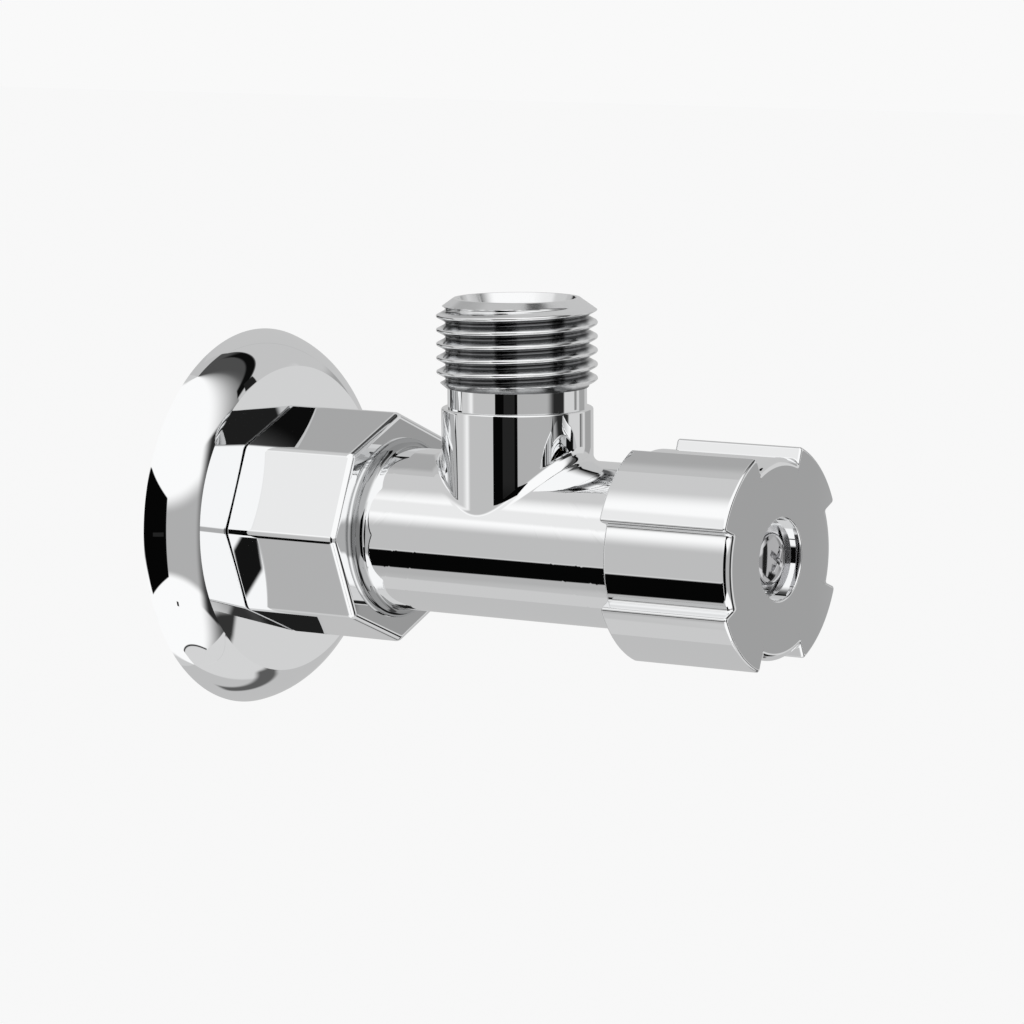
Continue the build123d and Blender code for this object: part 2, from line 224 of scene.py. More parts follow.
def ring(angles, radii, x):
    """Points of an outline about X: angle a and radius r lie at (x, r sin a, r cos a)."""
    return np.stack([np.full_like(angles, x), radii * np.sin(angles), radii * np.cos(angles)], axis=-1)


def tee_angles(left, right, main_r, ends, seam_steps):
    """Angles about the outlet that reach the unrolled main cylinder's rim: its left end, its seam, its right
    end and its seam again. A rim point (u, main_r a) is seen from the outlet at the arc tangent of main_r a
    over u, and the first angle is minus 180 degrees."""
    seam = np.linspace(left, right, seam_steps + 1)[1:-1]
    down = ends[ends <= 0][::-1]
    up = ends[ends >= 0][::-1]
    u = np.concatenate([np.full_like(down, left), seam, np.full_like(ends, right), seam[::-1],
                        np.full_like(up, left)])
    a = np.concatenate([down, np.full_like(seam, -pi), ends, np.full_like(seam, pi), up])
    t = np.arctan2(main_r * a, u)
    t[0] = -pi
    return u, a, t


def tee(main_r, branch_r, blend_r, top, rim_u, rim_a, t, steps):
    """Cylinder about X with an upright branch. The blend is a ball of radius blend_r that rolls in the
    corner: its centre lies at the branch radius plus blend_r from the outlet axis and at the main radius
    plus blend_r from X. From the contact on the main cylinder, straight lines on the unrolled cylinder lead
    to the rim, with points that lie closer together near the contact."""
    blend_steps, first_share, crowding = 14, 0.004, 1.2
    reach = branch_r + blend_r
    centre = np.stack([OUTLET_X + reach * np.cos(t), reach * np.sin(t),
                       np.sqrt((main_r + blend_r) ** 2 - (reach * np.sin(t)) ** 2)], axis=-1)
    on_branch = np.stack([OUTLET_X + branch_r * np.cos(t), branch_r * np.sin(t), centre[:, 2]], axis=-1)
    above = on_branch * [1, 1, 0] + [0, 0, top]
    drop = (top - centre[:, 2]).mean()
    grids = [between(above, on_branch, [0, SUPPORT / drop, 0.33, 0.67, 1 - SUPPORT / drop, 1])]
    scale = main_r / (main_r + blend_r)
    touch = centre * [1, scale, scale]
    if blend_r > 0:
        first = (on_branch - centre) / blend_r
        last = (touch - centre) / blend_r
        opening = np.arccos(np.clip((first * last).sum(-1), -1, 1))[None, :, None]
        share = np.linspace(0, 1, blend_steps + 1)[:, None, None]
        ball = (np.sin((1 - share) * opening) * first + np.sin(share * opening) * last) / np.sin(opening)
        grids.append(centre + blend_r * ball)
    touch_u = touch[:, 0] - OUTLET_X
    touch_a = np.arctan2(touch[:, 1], touch[:, 2])
    share = np.concatenate([[0, first_share], np.linspace(0, 1, steps + 1)[1:] ** crowding])[:, None]
    u = touch_u * (1 - share) + rim_u * share
    a = touch_a * (1 - share) + rim_a * share
    grids.append(np.stack([OUTLET_X + u, main_r * np.sin(a), main_r * np.cos(a)], axis=-1))
    return grids


# Materials

def set_inputs(node, inputs):
    """Give a node its inputs: a socket is linked to the input, and anything else is its value."""
    for label, source in inputs.items():
        if isinstance(source, bpy.types.NodeSocket):
            node.id_data.links.new(source, node.inputs[label])
        else:
            node.inputs[label].default_value = source


def add_node(tree, kind, inputs=None, **settings):
    """New shader node with its settings and its inputs."""
    node = tree.nodes.new("ShaderNode" + kind)
    for name, value in settings.items():
        setattr(node, name, value)
    set_inputs(node, inputs or {})
    return node


def calculate(tree, operation, *sources):
    """Result of one step of arithmetic on sockets and numbers."""
    return add_node(tree, "Math", dict(enumerate(sources)), operation=operation).outputs[0]


def smooth_step(tree, value, start, end):
    """Share that rises smoothly from 0 where the value is at the start to 1 where it is at the end."""
    inputs = {"Value": value, "From Min": start, "From Max": end}
    return add_node(tree, "MapRange", inputs, interpolation_type="SMOOTHSTEP").outputs["Result"]


def new_group(name, inputs, outputs):
    """Node group with the given sockets, and what its input node gives and its output node takes."""
    group = bpy.data.node_groups.new(name, "ShaderNodeTree")
    for label, default in inputs.items():
        socket = group.interface.new_socket(name=label, in_out="INPUT", socket_type="NodeSocketFloat")
        socket.default_value = default
    for label, kind in outputs.items():
        group.interface.new_socket(name=label, in_out="OUTPUT", socket_type="NodeSocket" + kind)
    return group, group.nodes.new("NodeGroupInput").outputs, group.nodes.new("NodeGroupOutput").inputs


def new_material(name, inputs):
    """Material of one Principled shader with the given inputs, and its node tree."""
    material = bpy.data.materials.new(name)
    material.use_nodes = True
    tree = material.node_tree
    tree.nodes.clear()
    shader = add_node(tree, "BsdfPrincipled", inputs)
    add_node(tree, "OutputMaterial", {"Surface": shader.outputs["BSDF"]})
    return material, tree


def surface_group():
    """Node group for slow and fine variation of a finish: noise on Object coordinates mapped to a value
    between Low and High, and a fine bump of the same noise."""
    defaults = {"Scale": 400.0, "Stretch X": 1.0, "Low": 0.03, "High": 0.05, "Bump": 0.0}
    group, given, result = new_group("finish_variation", defaults, {"Value": "Float", "Normal": "Vector"})
    place = add_node(group, "TexCoord").outputs["Object"]
    stretch = add_node(group, "CombineXYZ", {"X": given["Stretch X"], "Y": 1.0, "Z": 1.0}).outputs["Vector"]
    scaled = add_node(group, "VectorMath", {0: place, 1: stretch}, operation="MULTIPLY").outputs["Vector"]
    noise = add_node(group, "TexNoise", {"Vector": scaled, "Scale": given["Scale"], "Detail": 4.0})
    level = noise.outputs["Fac"]
    spread = add_node(group, "MapRange", {"Value": level, "From Min": 0.3, "From Max": 0.7,
                                          "To Min": given["Low"], "To Max": given["High"]})
    bump = add_node(group, "Bump", {"Height": level, "Strength": given["Bump"], "Distance": 0.02 * MM})
    group.links.new(spread.outputs["Result"], result["Value"])
    group.links.new(bump.outputs["Normal"], result["Normal"])
    return group


def finish(name, color, metallic, low, high, scale=400.0, stretch=1.0, bump=0.0, specular=0.5):
    """Material whose roughness drifts between two values, with an optional fine bump."""
    material, tree = new_material(
        name, {"Base Color": (*color, 1.0), "Metallic": metallic, "Specular IOR Level": specular})
    group = bpy.data.node_groups.get("finish_variation") or surface_group()
    values = {"Scale": scale, "Stretch X": stretch, "Low": low, "High": high, "Bump": bump}
    variation = add_node(tree, "Group", values, node_tree=group)
    shader = tree.nodes["Principled BSDF"]
    set_inputs(shader, {"Roughness": variation.outputs["Value"]})
    if bump:
        set_inputs(shader, {"Normal": variation.outputs["Normal"]})
    return material


def blend_base(material, share, first, second):
    """Give a material a base colour that runs from the first to the second with the share."""
    tree = material.node_tree
    blend = add_node(tree, "Mix", {0: share, 6: (*first, 1.0), 7: (*second, 1.0)}, data_type="RGBA")
    set_inputs(tree.nodes["Principled BSDF"], {"Base Color": blend.outputs[2]})


def mirror_finish(name):
    """Polished chrome."""
    chrome = bpy.context.scene.valve_finish.chrome_color
    return finish(name, chrome, metallic=1.0, low=0.004, high=0.012, scale=90.0)


def body_finish(name):
    """Polished chrome of the forged body, with painted shade in the corner at the collar: the base colour is
    darker there, between two places along X.
    """
    s = bpy.context.scene.valve_body
    # Painted shade: base colour of the corner at the collar, darker than the chrome
    painted_shade = (0.42, 0.425, 0.43)
    fade_in, fade_out = 0.3 * MM, 0.5 * MM
    start = COVER_HIGH.x + s.octagon_length
    end = start + s.collar_height + s.collar_fillet
    material = mirror_finish(name)
    tree = material.node_tree
    place = add_node(tree, "TexCoord").outputs["Object"]
    x = add_node(tree, "SeparateXYZ", {0: place}).outputs["X"]
    after_start = smooth_step(tree, x, start, start + fade_in)
    before_end = smooth_step(tree, x, end, end - fade_out)
    # The corner mask says where the painted shade lies
    corner = calculate(tree, "MULTIPLY", after_start, before_end)
    blend_base(material, corner, bpy.context.scene.valve_finish.chrome_color, painted_shade)
    return material


def thread_finish(name, centre, axis, end):
    """Chrome of a thread with painted shade in the roots: the base colour is dark there. The share of bright
    chrome grows with the distance from the axis, from root to crest. It is one in the mouth, and on the taper
    beyond the thread's end."""
    # Painted shade: base colour of the thread's roots
    painted_shade = (0.2, 0.203, 0.207)
    chrome = bpy.context.scene.valve_finish.chrome_color
    material = finish(name, chrome, metallic=1.0, low=0.09, high=0.18, scale=500.0, bump=0.12)
    tree = material.node_tree
    place = add_node(tree, "TexCoord").outputs["Object"]
    across = tuple(1.0 - abs(part) for part in axis)
    flat = add_node(tree, "VectorMath", {0: place, 1: across}, operation="MULTIPLY").outputs["Vector"]
    away = add_node(tree, "VectorMath", {0: flat, 1: centre}, operation="DISTANCE").outputs["Value"]
    along = add_node(tree, "VectorMath", {0: place, 1: axis}, operation="DOT_PRODUCT").outputs["Value"]
    crest = smooth_step(tree, away, THREAD_R - 1.05 * MM, THREAD_R - 0.3 * MM)
    mouth = smooth_step(tree, away, THREAD_R - 1.8 * MM, THREAD_R - 2.1 * MM)
    tip = smooth_step(tree, along, end - 0.1 * MM, end + 0.2 * MM)
    # Where this share is below one, the base colour holds painted shade
    bright = calculate(tree, "MAXIMUM", crest, calculate(tree, "MAXIMUM", mouth, tip))
    blend_base(material, bright, painted_shade, chrome)
    return material


def outlet_finish(name):
    """Chrome of the outlet thread."""
    taper = BODY_HIGH.z - bpy.context.scene.valve_thread.tip_length
    return thread_finish(name, (OUTLET_X, 0.0, 0.0), (0.0, 0.0, 1.0), taper)


def inlet_finish(name):
    """Chrome of the inlet thread."""
    taper = -BODY_LOW.x - bpy.context.scene.valve_thread.end_taper
    return thread_finish(name, (0.0, 0.0, 0.0), (-1.0, 0.0, 0.0), taper)


# Plain finishes: colour, metallic, lowest and highest roughness, scale of the noise, its stretch along X,
# strength of the bump and specular level
PLAIN_FINISHES = {
    "bright_screw": ((0.62, 0.62, 0.63), 1.0, 0.05, 0.1, 900.0, 1.0, 0.05),
    "turned_brass": ((0.80, 0.62, 0.32), 1.0, 0.18, 0.3, 300.0, 8.0, 0.1),
    "bright_steel": ((0.72, 0.72, 0.73), 1.0, 0.16, 0.3, 600.0, 1.0, 0.1),
    "nylon": ((0.88, 0.87, 0.83), 0.0, 0.35, 0.5, 800.0, 1.0, 0.1),
    "ceramic": ((0.93, 0.92, 0.89), 0.0, 0.12, 0.2, 500.0),
    "seal_rubber": ((0.03, 0.03, 0.03), 0.0, 0.45, 0.6, 900.0, 1.0, 0.15, 0.3),
}
CHROME_FINISHES = {
    "polished_chrome": mirror_finish,
    "body_chrome": body_finish,
    "outlet_chrome": outlet_finish,
    "inlet_chrome": inlet_finish,
}


def get_finish(slot):
    """The finish of a material slot or of a chrome surface, made when it is first asked for."""
    name = slot + "_finish"
    known = bpy.data.materials.get(name)
    if known:
        return known
    if slot in CHROME_FINISHES:
        return CHROME_FINISHES[slot](name)
    return finish(name, *PLAIN_FINISHES[slot])


class ValveFinish(bpy.types.PropertyGroup):
    """Colours of the plated surfaces."""

    chrome_color: FloatVectorProperty(
        name="Chrome colour", description="Mirror colour of the chrome plating", subtype="COLOR", size=3,
        min=0.0, max=1.0, default=(0.955, 0.96, 0.965))


class ValveBody(bpy.types.PropertyGroup):
    """Sizes of the forged body."""

    octagon_length: FloatProperty(
        name="Octagon length", description="Length of the octagon along the barrel",
        unit="LENGTH", default=17.2 * MM)
    octagon_corner: FloatProperty(
        name="Octagon corners", description="Radius of the octagon's eight long edges",
        unit="LENGTH", default=1.4 * MM)
    octagon_round: FloatProperty(
        name="Octagon front rounding", description="Radius round the octagon's front face",
        unit="LENGTH", default=0.85 * MM)
    edge_round: FloatProperty(
        name="Edge rounding", description="Radius of the body's small rounded edges",
        unit="LENGTH", default=0.3 * MM)
    collar_radius: FloatProperty(
        name="Collar radius", description="Radius of the round collar on the octagon",
        unit="LENGTH", default=11.9 * MM)
    collar_height: FloatProperty(
        name="Collar height", description="How far the collar stands out of the octagon",
        unit="LENGTH", default=0.5 * MM)
    collar_fillet: FloatProperty(
        name="Collar fillet", description="Radius between collar and barrel",
        unit="LENGTH", default=1.1 * MM)
    barrel_radius: FloatProperty(
        name="Barrel radius", description="Radius of the barrel", unit="LENGTH", default=10.7 * MM)
    neck_radius: FloatProperty(
        name="Neck radius", description="Radius of the outlet neck", unit="LENGTH", default=9.88 * MM)
    neck_height: FloatProperty(
        name="Neck height", description="Height of the neck's shoulder above the axis",
        unit="LENGTH", default=17.1 * MM)
    neck_fillet: FloatProperty(
        name="Neck fillet", description="Radius between neck and barrel", unit="LENGTH", default=1.8 * MM)


class ValveThread(bpy.types.PropertyGroup):
    """Sizes of the pipe threads."""

    pitch: FloatProperty(
        name="Pitch", description="Distance between crests", unit="LENGTH", default=1.814 * MM)
    outlet_start: FloatProperty(
        name="Outlet thread start", description="Height of the lower end of the outlet thread",
        unit="LENGTH", default=19.7 * MM)
    first_crest: FloatProperty(
        name="First crest", description="Height of the first crest above the thread's foot, on its +X side",
        unit="LENGTH", default=0.96 * MM)
    undercut_radius: FloatProperty(
        name="Undercut radius", description="Radius of the groove under the outlet thread",
        unit="LENGTH", default=9.05 * MM)
    tip_radius: FloatProperty(
        name="Tip radius", description="Outer radius of the flat lip at the outlet's end",
        unit="LENGTH", default=8.25 * MM)
    tip_length: FloatProperty(
        name="Tip length", description="Length of the taper at the outlet's end",
        unit="LENGTH", default=1.6 * MM)
    mouth_radius: FloatProperty(
        name="Mouth radius", description="Inner radius of the flat lip", unit="LENGTH", default=7.7 * MM)
    mouth_depth: FloatProperty(
        name="Mouth depth", description="Depth of the conical mouth", unit="LENGTH", default=4.0 * MM)
    mouth_bottom: FloatProperty(
        name="Mouth bottom", description="Radius at the foot of the conical mouth",
        unit="LENGTH", default=6.0 * MM)
    bore: FloatProperty(
        name="Outlet bore", description="Radius of the outlet bore", unit="LENGTH", default=5.5 * MM)
    inlet_bore: FloatProperty(
        name="Inlet bore", description="Radius of the inlet bore", unit="LENGTH", default=6.5 * MM)
    end_taper: FloatProperty(
        name="End taper", description="Length and depth of the taper at the inlet's end",
        unit="LENGTH", default=1.2 * MM)
    start_taper: FloatProperty(
        name="Start taper", description="Depth of the inlet thread where it starts at the wall plane",
        unit="LENGTH", default=1.1 * MM)
    shank: FloatProperty(
        name="Shank", description="Radius of the plain shank behind the octagon",
        unit="LENGTH", default=9.2 * MM)


class ValveCover(bpy.types.PropertyGroup):
    """Sizes of the wall cover."""

    crease: FloatProperty(
        name="Crease radius", description="Radius of the crease round the shallow dome",
        unit="LENGTH", default=20.45 * MM)
    dome_round: FloatProperty(
        name="Dome rounding", description="Radius of the ball that the dome belongs to",
        unit="LENGTH", default=250.0 * MM)
    rim_round: FloatProperty(
        name="Rim rounding", description="Radius of the rim's arc", unit="LENGTH", default=9.0 * MM)
    sheet: FloatProperty(name="Sheet", description="Thickness of the sheet", unit="LENGTH", default=0.7 * MM)
    hole: FloatProperty(name="Hole", description="Radius of the hole", unit="LENGTH", default=10.9 * MM)


class ValveKnob(bpy.types.PropertyGroup):
    """Sizes of the knob and its screw."""

    valley_radius: FloatProperty(
        name="Valley radius", description="Radius of the lowered sectors", unit="LENGTH", default=12.87 * MM)
    lobe_radius: FloatProperty(
        name="Lobe radius", description="Radius of the raised lobes", unit="LENGTH", default=14.72 * MM)
    lobe_angle: FloatProperty(
        name="Lobe angle", description="Width of a lobe", subtype="ANGLE", default=radians(46.0))
    lobe_turn: FloatProperty(
        name="Lobe turn", description="Place of the first lobe, from +Z towards -Y",
        subtype="ANGLE", default=radians(46.5))
    lobe_count: IntProperty(name="Lobes", description="Number of lobes", default=4, min=2, max=8)
    step_round: FloatProperty(
        name="Step rounding", description="Radius along the steps of the lobes",
        unit="LENGTH", default=0.35 * MM)
    valley_round: FloatProperty(
        name="Valley rounding", description="Radius of the front edge of the lowered sectors",
        unit="LENGTH", default=1.0 * MM)
    lobe_round: FloatProperty(
        name="Lobe rounding", description="Radius of the front edge of the lobes",
        unit="LENGTH", default=0.35 * MM)
    skirt_radius: FloatProperty(
        name="Skirt radius", description="Inner radius of the skirt", unit="LENGTH", default=11.4 * MM)
    recess_radius: FloatProperty(
        name="Recess radius", description="Radius of the screw recess", unit="LENGTH", default=5.22 * MM)
    recess_step: FloatProperty(
        name="Recess step", description="Radius of the recess below its step",
        unit="LENGTH", default=4.6 * MM)
    recess_depth: FloatProperty(
        name="Recess depth", description="Depth of the screw recess", unit="LENGTH", default=2.82 * MM)
    screw_head: FloatProperty(
        name="Screw head", description="Radius of the screw's head", unit="LENGTH", default=3.35 * MM)


class VALVE_OT_body(bpy.types.Operator):
    """Build the forged body: octagon, collar, barrel and neck, with its bores"""

    bl_idname = "valve.body"
    bl_label = "Forged Body"

    def execute(self, context):
        s, threads = context.scene.valve_body, context.scene.valve_thread
        back = COVER_HIGH.x
        front = back + s.octagon_length
        corner = s.octagon_corner
        apothem = (OCTAGON_R - corner) * cos(pi / 8) + corner
        edge = s.edge_round
        angles = octagon_outline(apothem, corner)[0]

        def octagon_at(x, inset):
            return ring(*octagon_outline(apothem - inset, corner - inset), x)

        # Outer tee
        collar_x = front + s.collar_height
        left = collar_x + s.collar_fillet
        right = BODY_HIGH.x
        rim_u, rim_a, t = tee_angles(left - OUTLET_X, right - edge - OUTLET_X, s.barrel_radius, angles,
                                     seam_steps=74)
        grids = tee(s.barrel_radius, s.neck_radius, s.neck_fillet, s.neck_height - edge,
                    rim_u, rim_a, t, steps=48)

        # Neck shoulder, undercut and the plane that carries the outlet thread
        shoulder = chain(
            arc((s.neck_radius - edge, s.neck_height - edge), edge, 0, 90, 5),
            (threads.undercut_radius, s.neck_height),
            (threads.undercut_radius, threads.outlet_start),
            (threads.bore, threads.outlet_start),
        )
        grids.append(about_outlet(shoulder, t))

        # Collar, turned
        fillet_r = s.collar_fillet
        collar = chain(
            arc((left, s.barrel_radius + fillet_r), fillet_r, 270, 180, 8),
            arc((collar_x - edge / 2, s.collar_radius - edge / 2), edge / 2, 0, 90, 4),
        )
        grids.append(about_x(collar, angles))
        foot = ring(angles, s.collar_radius, front)
        grids.append(between(about_x(collar[-1:], angles)[0], foot, [0, 0.1, 0.9, 1]))

        # Octagon: front face, rounded front edges, sides and back
        full, slight = s.octagon_round, edge / 2
        quarter = np.radians(np.linspace(90, 0, 11))
        rounding = [octagon_at(front - full + full * sin(k), full - full * cos(k)) for k in quarter]
        near = SUPPORT / (apothem - full - s.collar_radius)
        grids.append(between(foot, rounding[0], [0, near, 0.35, 0.68, 1 - near, 1]))
        grids.append(np.array(rounding))
        quarter = np.radians(np.linspace(0, 90, 5))
        turn_in = [octagon_at(back + slight - slight * sin(k), slight - slight * cos(k)) for k in quarter]
        near = SUPPORT / (front - back)
        grids.append(between(rounding[-1], turn_in[0], [0, near, 0.5, 1 - near, 1]))
        grids.append(np.array(turn_in))
        grids.append(between(turn_in[-1], ring(angles, threads.shank, back), [0, 0.02, 0.5, 1]))

        # Shank, the plane that carries the inlet thread, and the inlet bore
        seat_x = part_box("seat_seal")[0].x
        step_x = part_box("inlet_strainer")[1].x
        inside = np.array([
            (back, threads.shank),
            (0, threads.shank),
            (0, threads.inlet_bore),
            (step_x, threads.inlet_bore),
            (step_x, threads.bore),
            (seat_x, threads.bore),
            (seat_x, CHAMBER_BORE),
        ])
        grids.append(about_x(inside, angles))

        # Inner tee and the end face of the barrel
        inner_u = np.where(rim_u == rim_u.min(), seat_x - OUTLET_X, rim_u)
        inner_u = np.where(rim_u == rim_u.max(), right - OUTLET_X, inner_u)
        grids += tee(CHAMBER_BORE, threads.bore, 0.0, threads.outlet_start, inner_u, rim_a, t, steps=10)
        end = chain(
            (right, CHAMBER_BORE),
            (right, s.barrel_radius - edge),
            arc((right - edge, s.barrel_radius - edge), edge, 0, 90, 4)[1:],
        )
        grids.append(about_x(end, angles))
        make_piece("forged_body", grids, get_finish("body_chrome"), VALVE, ["valve_body"])
        return {"FINISHED"}


class VALVE_OT_threads(bpy.types.Operator):
    """Build the outlet and inlet threads as helical surfaces"""

    bl_idname = "valve.threads"
    bl_label = "Threads"

    def execute(self, context):
        s = context.scene.valve_thread
        # Outlet: at each height and angle the least radius of thread, tip's taper and foot's taper
        foot_r, foot_slope = s.undercut_radius + 0.2 * MM, 1.2
        tip_slope = (THREAD_R - s.tip_radius) / s.tip_length
        columns = np.linspace(-pi, pi, 241)
        top = BODY_HIGH.z
        z = np.linspace(s.outlet_start, top, 251)[:, None]
        r = thread_radius(z - s.outlet_start - s.first_crest, columns / (2 * pi), s.pitch, THREAD_R)
        r = np.minimum(r, s.tip_radius + (top - z) * tip_slope)
        r = np.minimum(r, foot_r + (z - s.outlet_start) * foot_slope)
        outside = np.stack([OUTLET_X + r * np.cos(columns), r * np.sin(columns), z + 0 * columns], axis=-1)
        inside = chain(
            (s.tip_radius, top),
            (s.mouth_radius, top),
            (s.mouth_bottom, top - s.mouth_depth),
            (s.bore, top - s.mouth_depth),
            (s.bore, s.outlet_start),
            (foot_r, s.outlet_start),
        )
        make_piece("outlet_thread", [outside, about_outlet(inside, columns)], get_finish("outlet_chrome"),
                   VALVE, ["valve_body"], sharp=50)

        # Inlet: at each place and angle the least radius of thread and its two tapers
        start = BODY_LOW.x
        columns = np.linspace(-pi, pi, 181)
        x = np.linspace(start, 0, 241)[:, None]
        r = thread_radius(x, columns / (2 * pi), s.pitch, THREAD_R)
        r = np.minimum(r, THREAD_R - s.end_taper + (x - start))
        r = np.minimum(r, THREAD_R - s.start_taper - x)
        outside = np.stack([x + 0 * columns, r * np.sin(columns), r * np.cos(columns)], axis=-1)
        inside = chain(
            (start, THREAD_R - s.end_taper),
            (start, s.inlet_bore),
            (0, s.inlet_bore),
            (0, THREAD_R - s.start_taper),
        )
        make_piece("inlet_thread", [outside, about_x(inside, columns)], get_finish("inlet_chrome"),
                   VALVE, ["valve_body"], sharp=50)
        return {"FINISHED"}


def arc_between(start, end, radius, steps):
    """Arc of the given radius that bulges to the left of the way from start to end. Its centre lies on the
    chord's bisector, at the square root of radius squared minus half the chord squared."""
    start, end = np.asarray(start, float), np.asarray(end, float)
    middle, chord = (start + end) / 2, end - start
    length = np.hypot(*chord)
    side = np.array([chord[1], -chord[0]]) / length
    centre = middle + side * np.sqrt(radius ** 2 - length ** 2 / 4)
    first = np.degrees(np.arctan2(*(start - centre)[::-1]))
    last = np.degrees(np.arctan2(*(end - centre)[::-1]))
    swing = (last - first + 180) % 360 - 180
    return arc(centre, radius, first, first + swing, steps)


class VALVE_OT_cover(bpy.types.Operator):
    """Build the pressed wall cover"""

    bl_idname = "valve.cover"
    bl_label = "Wall Cover"

    def execute(self, context):
        s = context.scene.valve_cover

        # Dome and rim are arcs through the crease, and the inner skin is the same one sheet deeper
        fall = sqrt(s.dome_round ** 2 - s.hole ** 2) - sqrt(s.dome_round ** 2 - s.crease ** 2)

        def skin(depth):
            top = COVER_HIGH.x - depth
            crease = (top - fall, s.crease)
            dome = arc_between(crease, (top, s.hole), s.dome_round, 12)[::-1]
            rim = arc_between((0, COVER_R - depth), crease, s.rim_round, 28)[::-1]
            return dome, rim

        outer_dome, outer_rim = skin(0)
        inner_dome, inner_rim = skin(s.sheet)
        profile = chain(outer_dome, outer_rim, inner_rim[::-1], inner_dome[::-1], outer_dome[:1])
        columns = np.linspace(-pi, pi, 289)
        make_piece("cover_shell", [about_x(profile, columns)], get_finish(CHROME_SLOT), VALVE,
                   ["wall_escutcheon"], sharp=12)
        return {"FINISHED"}


def knob_outline(valley_r, lobe_r, half, turn, count, foot, top):
    """Outline of the knob as radii and angles: valley arc, hollow fillet at the foot of a step, radial wall,
    rounded shoulder, lobe arc and the same mirrored. Fillet centres lie one fillet radius beside the wall."""
    step = pi / count
    foot_off = np.arcsin(foot / (valley_r + foot))
    top_off = np.arcsin(top / (lobe_r - top))
    share = np.linspace(0, 1, 6)

    def arc_about_axis(radius, angles):
        return np.column_stack([np.full_like(angles, radius), angles])

    def fillet(centre_r, centre_a, radius, swing):
        across = centre_r * cos(centre_a) + radius * np.cos(swing)
        along = centre_r * sin(centre_a) + radius * np.sin(swing)
        return np.column_stack([np.hypot(across, along), np.arctan2(along, across)])

    valley = arc_about_axis(valley_r, np.linspace(step, half + foot_off, 14)[:-1])
    hollow = fillet(valley_r + foot, half + foot_off, foot,
                    pi + half + foot_off + share * (pi / 2 - foot_off))
    wall_in = (valley_r + foot) * np.cos(foot_off)
    wall_out = (lobe_r - top) * np.cos(top_off)
    wall = np.column_stack([np.linspace(wall_in + SUPPORT, wall_out - SUPPORT, 4), np.full(4, half)])
    shoulder = fillet(lobe_r - top, half - top_off, top, half + pi / 2 - share * (pi / 2 + top_off))
    lobe = arc_about_axis(lobe_r, np.linspace(half - top_off, 0, 15)[1:])
    side = np.concatenate([valley, hollow, wall, shoulder, lobe])
    period = np.concatenate([side * [1, -1], side[::-1][1:-1]])
    radii = np.tile(period[:, 0], count)
    angles = (period[None, :, 1] + 2 * step * np.arange(count)[:, None]).ravel()
    return np.append(radii, radii[0]), np.append(angles, angles[0] + 2 * pi) + turn


def spread_angles(angles, reach):
    """Running mean of the angles of a closed outline over reach neighbours on both sides. It spreads the
    columns that share one angle at a radial wall, and keeps their order."""
    around = np.concatenate([angles[-reach - 1:-1] - 2 * pi, angles, angles[1:reach + 1] + 2 * pi])
    return np.convolve(around, np.full(2 * reach + 1, 1 / (2 * reach + 1)), "valid")


class VALVE_OT_knob(bpy.types.Operator):
    """Build the lobed knob"""

    bl_idname = "valve.knob"
    bl_label = "Knob"

    def execute(self, context):
        s = context.scene.valve_knob
        back, front = KNOB_LOW.x, KNOB_HIGH.x

        # Outside: loops from the rounded back edge to the front edge, rounder on valleys than on lobes. A
        # rounded edge draws in by its radius minus the root of radius squared minus the way into it squared.
        def outline(x, valley_in, lobe_in):
            half = s.lobe_angle / 2 - lobe_in / s.lobe_radius
            radii, angles = knob_outline(s.valley_radius - valley_in, s.lobe_radius - lobe_in, half,
                                         -s.lobe_turn, s.lobe_count, s.step_round, s.step_round)
            return ring(angles, radii, x)

        def inset(x, edge):
            far = np.clip(x - (front - edge), 0, edge)
            return edge - np.sqrt(np.maximum(edge ** 2 - far ** 2, 0))

        small = 0.3 * MM
        loops = [outline(back + small - small * sin(k), small - small * cos(k), small - small * cos(k))
                 for k in np.radians(np.linspace(90, 0, 5))]
        bend = np.sin(np.radians(np.linspace(0, 90, 9)))
        start = back + small
        flank = [start + SUPPORT, start + 0.4 * (front - back), front - s.valley_round - SUPPORT]
        places = np.concatenate([front - s.valley_round + s.valley_round * bend,
                                 front - s.lobe_round + s.lobe_round * bend, flank])
        places = np.unique(np.round(places, 8))
        loops += [outline(x, inset(x, s.valley_round), inset(x, s.lobe_round)) for x in places]
        outside = np.array(loops)
        columns = spread_angles(np.unwrap(np.arctan2(outside[-1, :, 1], outside[-1, :, 2])), reach=12)

        # Inside: stepped recess, hole for the screw, bore over the spindle, boss and skirt
        lip, step_depth, wall = 0.2 * MM, 1.2 * MM, 2.2 * MM
        hole_r, bore_r, boss_r = 2.2 * MM, 3.95 * MM, 6.8 * MM
        floor_x = front - s.recess_depth
        web_x = SPINDLE_FRONT + 0.2 * MM
        boss_x = SPINDLE_FRONT - 6.3 * MM
        inside = chain(
            arc((front - lip, s.recess_radius + lip), lip, 0, -90, 4),
            (front - step_depth, s.recess_radius),
            (front - step_depth, s.recess_step),
            (floor_x, s.recess_step),
            (floor_x, hole_r),
            (web_x, hole_r),
            (web_x, bore_r),
            (boss_x, bore_r),
            (boss_x, boss_r),
            (front - wall, boss_r),
            (front - wall, s.skirt_radius),
            (back, s.skirt_radius),
        )
        inner = about_x(inside, columns)
        face = between(outside[-1], inner[0], [0, 0.004, 0.25, 0.5, 0.75, 0.996, 1])
        rim = between(inner[-1], outside[0], [0, 0.5, 1])
        make_piece("knob_shell", [outside, face, inner, rim], get_finish(CHROME_SLOT), KNOB,
                   ["handle"])
        return {"FINISHED"}


